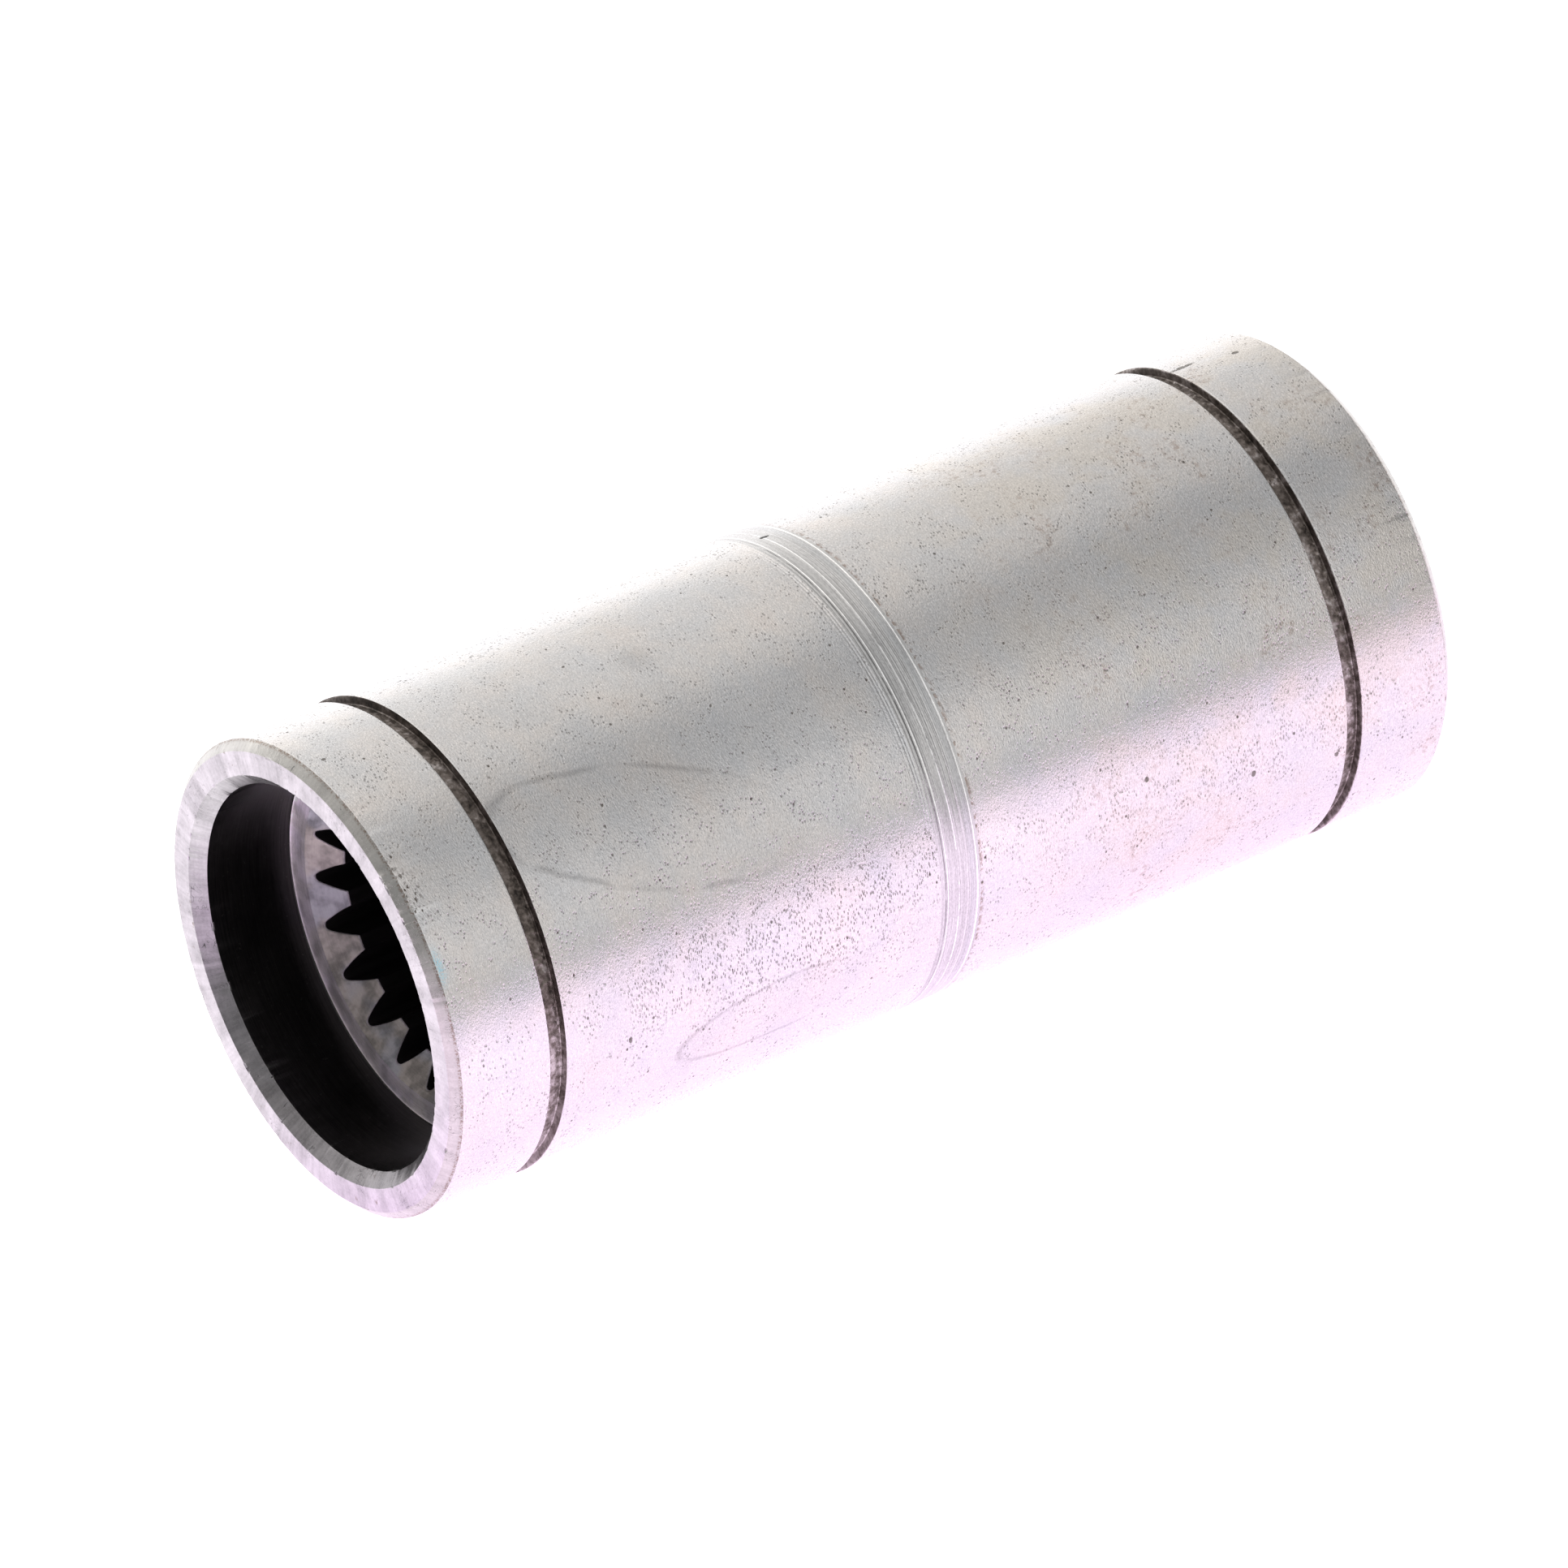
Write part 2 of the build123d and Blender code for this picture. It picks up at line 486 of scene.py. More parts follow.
weld = {
    "rows": 190,
    "columns": 480,
    "flush": 0.002,  # how far the band's borders lie under the sleeve's outside
    "recessDepth": 0.05,
    "recessStart": -1.85,
    "recessEnd": 2.05,
    "recessSlope": 0.035,
    # turned rings: x, height, half width
    "rings": [(-2.14, -0.034, 0.09), (-1.48, 0.028, 0.10), (-1.05, -0.014, 0.08), (-0.22, 0.034, 0.10),
              (0.14, -0.018, 0.08), (0.42, -0.022, 0.08), (0.75, 0.018, 0.08), (1.05, -0.020, 0.08),
              (1.60, 0.008, 0.25)],
    "wobble": 0.004,
    "wobbleTurns": (3, 30),
    "wobbleInset": 0.2,
    "nick": (0.0, -20.5, 0.60, 0.28),  # x, degrees from the top, half length, half width
    # scribed lines on the front half beside the weld: distance from mid-length, depth, half width
    "frontScribes": [(2.62, 0.034, 0.11), (2.94, 0.040, 0.11), (3.34, 0.026, 0.11)],
    "seed": 5,
}

weldFinish = {
    "noise": {
        "rings": (14.0, 0.10, 2.0, 0.6),
        "grain": (7.0, 2.6, 2.0, 0.6),
        "blotch": (0.15, 0.15, 3.0, 0.6),
        "broken": (0.5, 0.5, 3.0, 0.6),
    },
    "shade": {"base": -0.05, "blotch": 0.24, "rings": 0.90, "grain": 0.60},
    "roughness": {"base": 0.20, "blotch": 0.12, "nick": 0.6},
    "relief": {"rings": 0.8, "grain": 0.7},
    "reliefHeight": 0.030,
    # lines round the band, a painted shade line at the recess's front step and painted highlight lines along
    # rings: x, half width, share; the first two are broken where the broken noise is low
    "darkLine": (-1.82, 0.13, 0.65),
    "darkLineRange": (0.32, 0.50),
    "dashedLine": (-0.20, 0.10, 1.125),
    "dashedLineRange": (0.40, 0.52),
    "paleLines": [(-1.55, 0.09, 0.75), (0.90, 0.07, 0.45), (2.05, 0.12, 0.75)],
    "stripStart": (1.0, 1.4),
    "stripEnd": (2.0, 1.8),
    "stripShare": 0.35,
    "steel": grey(0.585, 0.008),
    "stripSteel": grey(0.57, -0.03),
    "nickEdge": (1.1, 0.7),
    "nickDark": 0.8,
    "nickMetalLoss": 0.9,
}


def line(x, look):
    # a soft line round the axis
    centre, halfWidth, share = look
    return x.bell(centre, halfWidth) * share


def weldSteel():
    # the turned weld band: fine rings round the axis, a painted shade line near its front edge, painted
    # highlight lines along some rings and a bluer rear strip
    w = weldFinish
    material, start, shader, place = newMaterial("weld_steel_surface")
    x, _, angle = polar(place)
    patterns = patternsOf(place, w["noise"])
    nick = oval(x, angle * sleeve["outerRadius"], weld["nick"]).step(*w["nickEdge"])
    patterns["nick"] = nick
    # painted shade at the recess's front step, and painted highlights along the rings
    darkLine = line(x, w["darkLine"]) * patterns["broken"].step(*w["darkLineRange"])
    paintedHighlight = line(x, w["dashedLine"]) * patterns["broken"].step(*w["dashedLineRange"])
    for look in w["paleLines"]:
        paintedHighlight = paintedHighlight + line(x, look)
    strip = x.step(*w["stripStart"]) * x.step(*w["stripEnd"]) * w["stripShare"]
    shade = weighted(w["shade"], patterns) * (1 - darkLine) * (1 + paintedHighlight) * (1 - nick * w["nickDark"])
    return finishMaterial(material, start, shader, {
        "Base Color": shade.times(strip.mixed(w["steel"], w["stripSteel"])),
        "Metallic": 1 - nick * w["nickMetalLoss"],
        "Roughness": weighted(w["roughness"], patterns),
        "Bump": (weighted(w["relief"], patterns), w["reliefHeight"] * mm),
    })


endFinish = {
    # colour, strength of the radial smears, of the scratches, of the brown specks and of the painted shade
    # low down
    # the faced colour's lavender tint is a painted reflection of the pink floor
    "faced": {"colour": (0.590, 0.546, 0.596), "smears": 1.50, "scratches": 0.30, "specks": 0.60,
              "grime": 0.0, "roughness": 0.30},
    "rim": {"colour": (0.560, 0.548, 0.525), "smears": 0.70, "scratches": 0.30, "specks": 0.80,
            "grime": 0.0, "roughness": 0.28},
    "mouth": {"colour": (0.500, 0.478, 0.500), "smears": 1.50, "scratches": 0.40, "specks": 0.20,
              "grime": 0.42, "roughness": 0.28},
}

endMarks = {
    "noise": {
        "cloud": (0.45, 0.45, 3.0, 0.6),
        "grain": (4.5, 4.5, 2.0, 0.6),
        "specks": (1.1, 1.1, 3.0, 0.65),
        "speckSpread": (0.16, 0.16, 2.0, 0.5),
        "cut": (0.7, 0.7, 1.0, 0.5, 1.5),
        "cutSpread": (0.3, 0.3, 1.0, 0.5),
    },
    "smearSpokes": (8.0, 3.0),
    "smearShares": {"spokes": 0.55, "cloud": 0.45},
    "scratchSpokes": (55.0, 2.0),
    "circles": 5.0,
    "shade": {"base": 0.57, "turning": 0.16, "grain": 0.30, "cut": -0.45},
    "relief": {"turning": 0.4, "scratches": 0.6, "grain": 0.5, "cut": -1.0},
    "reliefHeight": 0.014,
    "roughness": {"base": -0.08, "smears": 0.16, "specks": 0.2},
    "speckRange": (0.62, 0.72),
    "speckSpreadRange": (0.48, 0.62),
    "cutWidth": 0.010,
    "cutSpreadRange": (0.47, 0.56),
    "grimeHeight": (6.0, -10.0),  # from none of the painted shade to all of it
    # the worn outer edge's dark brown line, partly burr and partly painted shade where the chamfer is seen
    # edge-on: how far in from it the line starts and is whole, range of the grain, share, colour
    "burrDepth": (0.34, 0.14),
    "burrRange": (0.44, 0.58),
    "burrShare": 0.75,
    "speckColour": (0.20, 0.145, 0.115, 1),
}


def endSteel(name):
    # an end face or a chamfer: radial smears and scratches over faint turning circles, and brown specks, with
    # a dark brown line along the outer edge that is partly burr and partly painted shade
    look, e = endFinish[name], endMarks
    material, start, shader, place = newMaterial(name + "_steel_surface")
    patterns = patternsOf(place, e["noise"])
    patterns["spokes"] = spokes(place, *e["smearSpokes"])
    patterns["smears"] = weighted(e["smearShares"], patterns)
    patterns["scratches"] = spokes(place, *e["scratchSpokes"])
    patterns["turning"] = circles(place, e["circles"])
    patterns["specks"] = (patterns["specks"].step(*e["speckRange"])
                          * patterns["speckSpread"].step(*e["speckSpreadRange"]))
    patterns["cut"] = (patterns["cut"].bell(0.5, e["cutWidth"])
                       * patterns["cutSpread"].step(*e["cutSpreadRange"]))
    shade = weighted(e["shade"], patterns)
    for mark in ("smears", "scratches"):
        shade = shade + look[mark] * (patterns[mark] - 0.5)
    # painted shade: the mouth's chamfer is painted darker low down
    shade = shade * (1 - axes(place)[2].step(*e["grimeHeight"]) * look["grime"])
    edges = (sleeve["outerRadius"] - depth for depth in e["burrDepth"])
    # partly burr, partly painted shade: a dark brown line along the outer edge
    burrAndShade = polar(place)[1].step(*edges) * patterns["grain"].step(*e["burrRange"])
    brown = (patterns["specks"] * look["specks"] + burrAndShade * e["burrShare"]).clamp()
    return finishMaterial(material, start, shader, {
        "Base Color": brown.mixed(shade.times(look["colour"]), e["speckColour"]),
        "Metallic": 1.0,
        "Roughness": weighted(e["roughness"], patterns) + look["roughness"],
        "Bump": (weighted(e["relief"], patterns), e["reliefHeight"] * mm),
    })


boredFinish = {
    # nearly black: painted shade inside the mouth
    "colour": (0.060, 0.058, 0.057),
    "noise": {"marks": (7.0, 0.22, 3.0, 0.6), "cloud": (0.2, 0.2, 3.0, 0.6), "flecks": (2.4, 2.4, 2.0, 0.6)},
    "fleckRange": (0.66, 0.74),
    "shade": {"base": 0.17, "cloud": 0.40, "marks": 0.90, "flecks": 0.60},
    "roughness": {"base": 0.26, "cloud": 0.12},
    "reliefHeight": 0.010,
}


def boredSteel():
    # the counterbore's wall: nearly black, painted shade inside the mouth, with fine boring marks
    b = boredFinish
    material, start, shader, place = newMaterial("bored_steel_surface")
    patterns = patternsOf(place, b["noise"])
    patterns["flecks"] = patterns["flecks"].step(*b["fleckRange"])
    return finishMaterial(material, start, shader, {
        "Base Color": weighted(b["shade"], patterns).times(b["colour"]),
        "Metallic": 1.0,
        "Roughness": weighted(b["roughness"], patterns),
        "Bump": (patterns["marks"], b["reliefHeight"] * mm),
    })


splineFinish = {
    # nearly black: painted shade deep in the bore
    "colour": (0.022, 0.019, 0.020),
    "smears": (0.2, 1.4, 3.0, 0.6),
    "shade": 0.5,
    "metallic": 0.8,
    "roughness": 0.34,
    "smearRoughness": 0.2,
    "reliefHeight": 0.010,
}


def splineSteel():
    # the spline's flanks and roots: nearly black, painted shade deep in the bore, with faint smears
    f = splineFinish
    material, start, shader, place = newMaterial("spline_steel_surface")
    smears = place.patches(*f["smears"])
    return finishMaterial(material, start, shader, {
        "Base Color": (f["shade"] + smears).times(f["colour"]),
        "Metallic": f["metallic"],
        "Roughness": f["roughness"] + f["smearRoughness"] * smears,
        "Bump": (smears, f["reliefHeight"] * mm),
    })


# the step and the teeth's ends are a lit and a shaded copy of one dull steel: painted light on the step's
# much lighter colours and painted shade on the teeth's darker ones, besides the teeth's thicker film
stepFinish = {
    # a cooler and a warmer colour that lie in patches, and the strength of the film and of the circles
    "step": {"cool": (0.92, 0.84, 0.94, 1), "warm": (0.93, 0.86, 0.90, 1), "metallic": 1.0,
             "film": 0.25, "turning": 0.60, "roughness": 0.64},
    "toothEnd": {"cool": (0.43, 0.42, 0.465, 1), "warm": (0.485, 0.435, 0.415, 1), "metallic": 0.8,
                 "film": 0.70, "turning": 0.30, "roughness": 0.42},
}

stepMarks = {
    "noise": {"film": (0.36, 0.36, 3.0, 0.6), "grain": (3.5, 3.5, 2.0, 0.6), "hue": (0.22, 0.22, 2.0, 0.5)},
    "filmRange": (0.36, 0.62),
    "hueRange": (0.40, 0.58),
    "circles": (2.6, 2.0, 0.7),
    "shade": {"base": 0.725, "grain": 0.25},
    "relief": {"turning": 0.8, "film": 0.3, "grain": 0.3},
    "reliefHeight": 0.060,
    "filmRoughness": 0.15,
    # painted light and shade: the shade rises with the height, from low to high, and a painted highlight
    # raises it out towards the wall
    "lowShade": 0.62,
    "highGain": 0.40,
    "heights": (-9.0, 14.0),
    "outerGain": 0.40,
    "radii": (19.0, 20.4),
}


def stepSteel(name):
    # the flat step, or the teeth's bevelled ends: dull steel with turning circles and a mottled film, painted
    # darker low down and with a painted highlight out towards the wall
    look, s = stepFinish[name], stepMarks
    material, start, shader, place = newMaterial(name + "_steel_surface")
    patterns = patternsOf(place, s["noise"])
    patterns["film"] = patterns["film"].step(*s["filmRange"])
    patterns["turning"] = circles(place, *s["circles"])
    shade = weighted(s["shade"], patterns)
    for mark in ("film", "turning"):
        shade = shade + look[mark] * (patterns[mark] - 0.5)
    # painted light: darker low down, lighter high up, and a painted highlight out towards the wall
    shade = shade * (s["lowShade"] + s["highGain"] * axes(place)[2].step(*s["heights"]))
    shade = shade * (1 + s["outerGain"] * polar(place)[1].step(*s["radii"]))
    return finishMaterial(material, start, shader, {
        "Base Color": shade.times(patterns["hue"].step(*s["hueRange"]).mixed(look["cool"], look["warm"])),
        "Metallic": look["metallic"],
        "Roughness": look["roughness"] + s["filmRoughness"] * patterns["film"],
        "Bump": (weighted(s["relief"], patterns), s["reliefHeight"] * mm),
    })


scaleFinish = {
    "noise": {"flecks": (1.5, 1.5, 3.0, 0.6), "patches": (0.40, 0.40, 3.0, 0.6)},
    "tones": [(0.34, (0.022, 0.018, 0.016, 1)), (0.46, (0.100, 0.083, 0.071, 1)),
              (0.56, (0.19, 0.162, 0.147, 1)), (0.70, (0.50, 0.46, 0.45, 1))],
    "toneShares": {"flecks": 0.55, "patches": 0.45, "bare": 0.15, "far": 0.04},
    "bareAngles": (1.15, 1.75),  # where the groove turns paler, in radians from the top towards the front
    "bareAlong": (20.0, -20.0),
    "leastBare": 0.35,
    "farAlong": (-10.0, 30.0),
    "metallic": 0.8,
    "roughness": {"base": 0.52, "flecks": -0.25},
    "reliefHeight": 0.07,
}


def grooveScale():
    # the ring groove: brown and black scale with paler flecks where the steel shows through, and paler as a
    # whole towards the lower front, more on the front half's groove
    g = scaleFinish
    material, start, shader, place = newMaterial("groove_scale")
    x, _, angle = polar(place)
    patterns = patternsOf(place, g["noise"])
    share = g["leastBare"] + (1 - g["leastBare"]) * x.step(*g["bareAlong"])
    patterns["bare"] = angle.step(*g["bareAngles"]) * share
    patterns["far"] = x.step(*g["farAlong"])
    return finishMaterial(material, start, shader, {
        "Base Color": weighted(g["toneShares"], patterns).ramp(g["tones"]),
        "Metallic": g["metallic"],
        "Roughness": weighted(g["roughness"], patterns),
        "Bump": (patterns["flecks"], g["reliefHeight"] * mm),
    })


turnedFinish = {
    "colour": (0.42, 0.41, 0.40),
    "circles": (5.0, 3.0),
    "cloud": (0.2, 0.2, 3.0, 0.6),
    "shade": {"base": 0.50, "cloud": 0.30, "turning": 0.30},
    "roughness": {"base": 0.32, "cloud": 0.10},
    "reliefHeight": 0.010,
}


def turnedSteel():
    # the stop ring and the halves' inner ends: plain turned steel
    t = turnedFinish
    material, start, shader, place = newMaterial("turned_steel_surface")
    patterns = {"turning": circles(place, *t["circles"]), "cloud": place.patches(*t["cloud"])}
    return finishMaterial(material, start, shader, {
        "Base Color": weighted(t["shade"], patterns).times(t["colour"]),
        "Metallic": 1.0,
        "Roughness": weighted(t["roughness"], patterns),
        "Bump": (patterns["turning"], t["reliefHeight"] * mm),
    })


def ringNoise(angle, low, high, seed):
    # a curve round the axis: a sum of sines of whole turns low to high, each with its own size and phase
    draw = np.random.default_rng(seed)
    turns = np.arange(low, high + 1)
    size = draw.normal(size=turns.size)
    phase = draw.uniform(0, 2 * math.pi, turns.size)
    return np.sin(angle[..., None] * turns + phase) @ size / math.sqrt(turns.size / 2)


def roundCorner(before, corner, after, radius, steps):
    # points along the circle of that radius that touches both sides of a corner
    back = (before - corner) / np.linalg.norm(before - corner)
    ahead = (after - corner) / np.linalg.norm(after - corner)
    half = math.acos(np.clip(back @ ahead, -1, 1)) / 2
    middle = (back + ahead) / np.linalg.norm(back + ahead)
    centre = corner + middle * radius / math.sin(half)
    first = corner + back * radius / math.tan(half) - centre
    last = corner + ahead * radius / math.tan(half) - centre
    swing = math.pi - 2 * half
    t = np.linspace(0, 1, steps + 1)[:, None]
    return centre + (np.sin((1 - t) * swing) * first + np.sin(t * swing) * last) / math.sin(swing)


rowSpacing = {"groove": 0.24, "faced": 1.2}  # longest step along a section on these surfaces, in millimetres
longestStep = 4.0
holdStep = 0.12  # a row stands this far from each end of a long straight, which keeps its shading flat


def sharesAlong(length, longest):
    # how far along a straight its rows stand, from 0 up to but not 1
    if length < 4 * holdStep:
        return np.zeros(1)
    count = math.ceil((length - 2 * holdStep) / longest)
    inner = np.linspace(holdStep, length - holdStep, count + 1) / length
    return np.concatenate([[0.0], inner])


def sectionRows(corners, closed, steps=4):
    # an outline given as corners (x, radius, rounding, surface that leaves the corner, wear): returns its
    # points, the surface after each point, and the number of each point's rounded corner, or -1
    spots = np.array([corner[:2] for corner in corners], float)
    points, surfaces, owners = [], [], []
    last = len(corners) - 1
    for i, (_, _, rounding, surface, _) in enumerate(corners):
        rounded = rounding > 0 and (closed or 0 < i < last)
        arc = spots[i:i + 1]
        if rounded:
            arc = roundCorner(spots[i - 1], spots[i], spots[(i + 1) % len(spots)], rounding, steps)
        before = steps // 2 if rounded else 0
        points += list(arc)
        surfaces += [corners[i - 1][3]] * before + [surface] * (len(arc) - before)
        owners += [i if rounded else -1] * len(arc)
    made, kinds, corner = [], [], []
    for i, point in enumerate(points):
        ahead = points[(i + 1) % len(points)]
        runs = closed or i + 1 < len(points)
        length = np.linalg.norm(ahead - point) if runs else 0
        share = sharesAlong(length, rowSpacing.get(surfaces[i], longestStep))
        made.append(point + (ahead - point) * share[:, None])
        kinds += [surfaces[i]] * len(share)
        corner += [owners[i]] + [-1] * (len(share) - 1)
    return np.concatenate(made), kinds, np.array(corner)


def gridMesh(name, x, radius, angle, surfaces, materials, flip=False, sharpAngle=32):
    # a surface closed both ways, in rows along the section and columns round the axis: each point stands at
    # its x, and at its radius from the axis, turned by its angle from the top towards the front side
    places = np.stack([x, -radius * np.sin(angle), radius * np.cos(angle)], -1)
    if flip:
        places = places[:, ::-1]
    rows, columns = places.shape[:2]
    index = np.arange(rows * columns).reshape(rows, columns)
    across = np.roll(index, -1, 1)
    down = np.roll(index, -1, 0)
    quads = np.stack([index, across, np.roll(down, -1, 1), down], -1).reshape(-1, 4)
    mesh = bpy.data.meshes.new(name)
    mesh.vertices.add(rows * columns)
    mesh.vertices.foreach_set("co", (places * mm).astype(np.float32).ravel())
    mesh.loops.add(quads.size)
    mesh.loops.foreach_set("vertex_index", quads.astype(np.int32).ravel())
    mesh.polygons.add(len(quads))
    mesh.polygons.foreach_set("loop_start", np.arange(0, quads.size, 4, dtype=np.int32))
    mesh.update(calc_edges=True)
    names = sorted(set(surfaces))
    for surface in names:
        mesh.materials.append(materials[surface])
    slots = np.repeat([names.index(surface) for surface in surfaces], columns)
    mesh.polygons.foreach_set("material_index", slots.astype(np.int32))
    mesh.shade_smooth()
    mesh.set_sharp_from_angle(angle=math.radians(sharpAngle))
    made = bpy.data.objects.new(name, mesh)
    scene.collection.objects.link(made)
    print(name, rows, "rows", columns, "columns", len(quads) * 2, "triangles")
    return made


def dress(piece, node):
    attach(piece, "root")
    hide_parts(node)


splineTeeth = 20
splineModule = 25.4 / 16
spline = {
    "teeth": splineTeeth,
    "module": splineModule,
    "pressureAngle": math.radians(30),
    "tipRadius": (splineTeeth - 1) * splineModule / 2,
    "rootRadius": (splineTeeth + 1.8) * splineModule / 2,
    "rootFillet": 0.38 * splineModule,
    "tipRound": 0.16,
    "leadInRadius": 17.904,
    "flankPoints": 7,
    "flankGap": 0.05,  # the flank's own points keep this far from the rounded tip and root
    "tipSteps": 4,
    "rootSteps": 6,
    # where the rows stand on the teeth's bevelled ends, over their rounded crests, and along the teeth
    "coneShares": (0.25, 0.5, 0.75),
    "crestShares": (0.0, 0.33, 0.67, 1.0),
    "lengthShares": (0.02, 0.1, 0.35, 0.65, 0.9, 1.0),
}


def splineColumns():
    # the spline's outline round the axis, as angles and radii: each space is two involute flanks with a
    # filleted root, and the teeth between the spaces have rounded tips
    teeth, pressure = spline["teeth"], spline["pressureAngle"]
    tip, root = spline["tipRadius"], spline["rootRadius"]
    baseRadius = teeth * spline["module"] / 2 * math.cos(pressure)
    radii = np.linspace(tip, root, spline["flankPoints"])
    roll = np.arccos(baseRadius / radii)
    width = math.pi / (2 * teeth) + math.tan(pressure) - pressure - (np.tan(roll) - roll)
    flank = np.stack([radii * np.cos(width), radii * np.sin(width)], -1)
    tooth = math.pi / teeth
    tipMiddle = np.array([tip * math.cos(tooth), tip * math.sin(tooth)])
    tipArc = roundCorner(tipMiddle, flank[0], flank[1], spline["tipRound"], spline["tipSteps"])
    rootMiddle = np.array([flank[-1][0], 0.0])
    rootArc = roundCorner(flank[-3], flank[-1], rootMiddle, spline["rootFillet"], spline["rootSteps"])
    start, end = tipArc[-1][0] + spline["flankGap"], rootArc[0][0] - spline["flankGap"]
    straight = flank[(flank[:, 0] > start) & (flank[:, 0] < end)]
    between = (tipMiddle + tipArc[0]) / 2
    side = np.concatenate([[tipMiddle, between], tipArc, straight, rootArc, [rootMiddle]])
    angle, radius = np.arctan2(side[:, 1], side[:, 0]), np.hypot(side[:, 0], side[:, 1])
    spaceAngle = np.concatenate([-angle, angle[::-1][1:-1]])
    spaceRadius = np.concatenate([radius, radius[::-1][1:-1]])
    centres = (2 * np.arange(teeth) + 1) * tooth
    return (centres[:, None] + spaceAngle).ravel(), np.tile(spaceRadius, teeth)


def outsideCorners(scribes):
    # a half's outside from the weld out to its mouth, then in to the lead-in, for positive x. Wear is 1 on
    # the end's outer edges and -1 on the mouth's
    s = sleeve
    outer, edge, rim, corner = s["outerRadius"], s["edge"], s["grooveEdge"], s["grooveCorner"]
    corners = [(s["weldX"], outer, 0, "ground", 0)]
    for x, depth, width in scribes:
        for offset, drop in ((-width, 0), (0, depth), (width, 0)):
            corners.append((x + offset, outer - drop, 0, "ground", 0))
    return corners + [
        (s["grooveInnerX"], outer, rim, "groove", 0),
        (s["grooveInnerX"], s["grooveRadius"], corner, "groove", 0),
        (s["grooveOuterX"], s["grooveRadius"], corner, "groove", 0),
        (s["grooveOuterX"], outer, s["grooveWornEdge"], "ground", 0),
        (s["endX"] - s["endChamfer"], outer, edge, "rim", 1),
        (s["endX"], outer - s["endChamfer"], edge, "faced", 1),
        (s["endX"], s["boreRadius"] + s["mouthChamfer"], edge, "mouth", -1),
        (s["endX"] - s["mouthChamfer"], s["boreRadius"], edge, "bored", -1),
        (s["stepX"], s["boreRadius"], s["cornerRadius"], "step", 0),
        (s["stepX"], spline["leadInRadius"], 0, "toothEnd", 0),
    ]


def jointCorners(rear):
    # a half's inner end: the stop ring's pocket, the register and the weld's root
    s = sleeve
    if rear:
        inner = [(s["pocketX"], s["socketRadius"]), (0, s["socketRadius"])]
    else:
        inner = [(s["pocketX"], s["pocketRadius"]), (-s["spigotX"], s["pocketRadius"]),
                 (-s["spigotX"], s["spigotRadius"]), (0, s["spigotRadius"])]
    inner += [(0, s["weldRootRadius"]), (s["weldRootX"], s["weldRootRadius"])]
    return [(x, radius, 0, "turned", 0) for x, radius in inner]


wear = {
    "ripple": 0.012,  # unevenness of the end's edges
    "rippleTurns": (30, 200),
    "nickDepth": 0.10,
    "nickTurns": (12, 140),
    "nickFrom": 1.35,  # how far the noise must rise for a nick to start
    "nickMost": 1.2,
    "nickSeed": 10,
    "bruiseAngle": 38.0,  # where the near end's rim is knocked about, in degrees from the top
    "bruiseSpread": 9.0,
    "bruiseDepth": 0.10,
    "bruiseTurns": (20, 160),
    "bruiseMost": 1.5,
    "bruiseSeed": 30,
}


def wearEdges(corners, owners, x, radius, angle, seed, bruised):
    # worn edges: small nicks where a ring noise passes a threshold, deeper where the rim is bruised
    w = wear
    away = (angle - math.radians(w["bruiseAngle"])) / math.radians(w["bruiseSpread"])
    bruise = w["bruiseDepth"] * np.exp(-away ** 2) if bruised else 0
    worn = [i for i, corner in enumerate(corners) if corner[4]]
    for edge, i in enumerate(worn):
        side = corners[i][4]
        ripple = np.clip(w["ripple"] * ringNoise(angle, *w["rippleTurns"], seed + edge), 0, None)
        nick = ringNoise(angle, *w["nickTurns"], seed + w["nickSeed"] + edge) - w["nickFrom"]
        nick = np.clip(nick, 0, w["nickMost"])
        knock = 0
        if side > 0:
            knock = ringNoise(angle, *w["bruiseTurns"], seed + w["bruiseSeed"] + edge)
            knock = np.clip(knock, 0, w["bruiseMost"])
        inward = ripple + w["nickDepth"] * nick + bruise * knock
        x[owners == i] -= inward
        radius[owners == i] -= side * inward


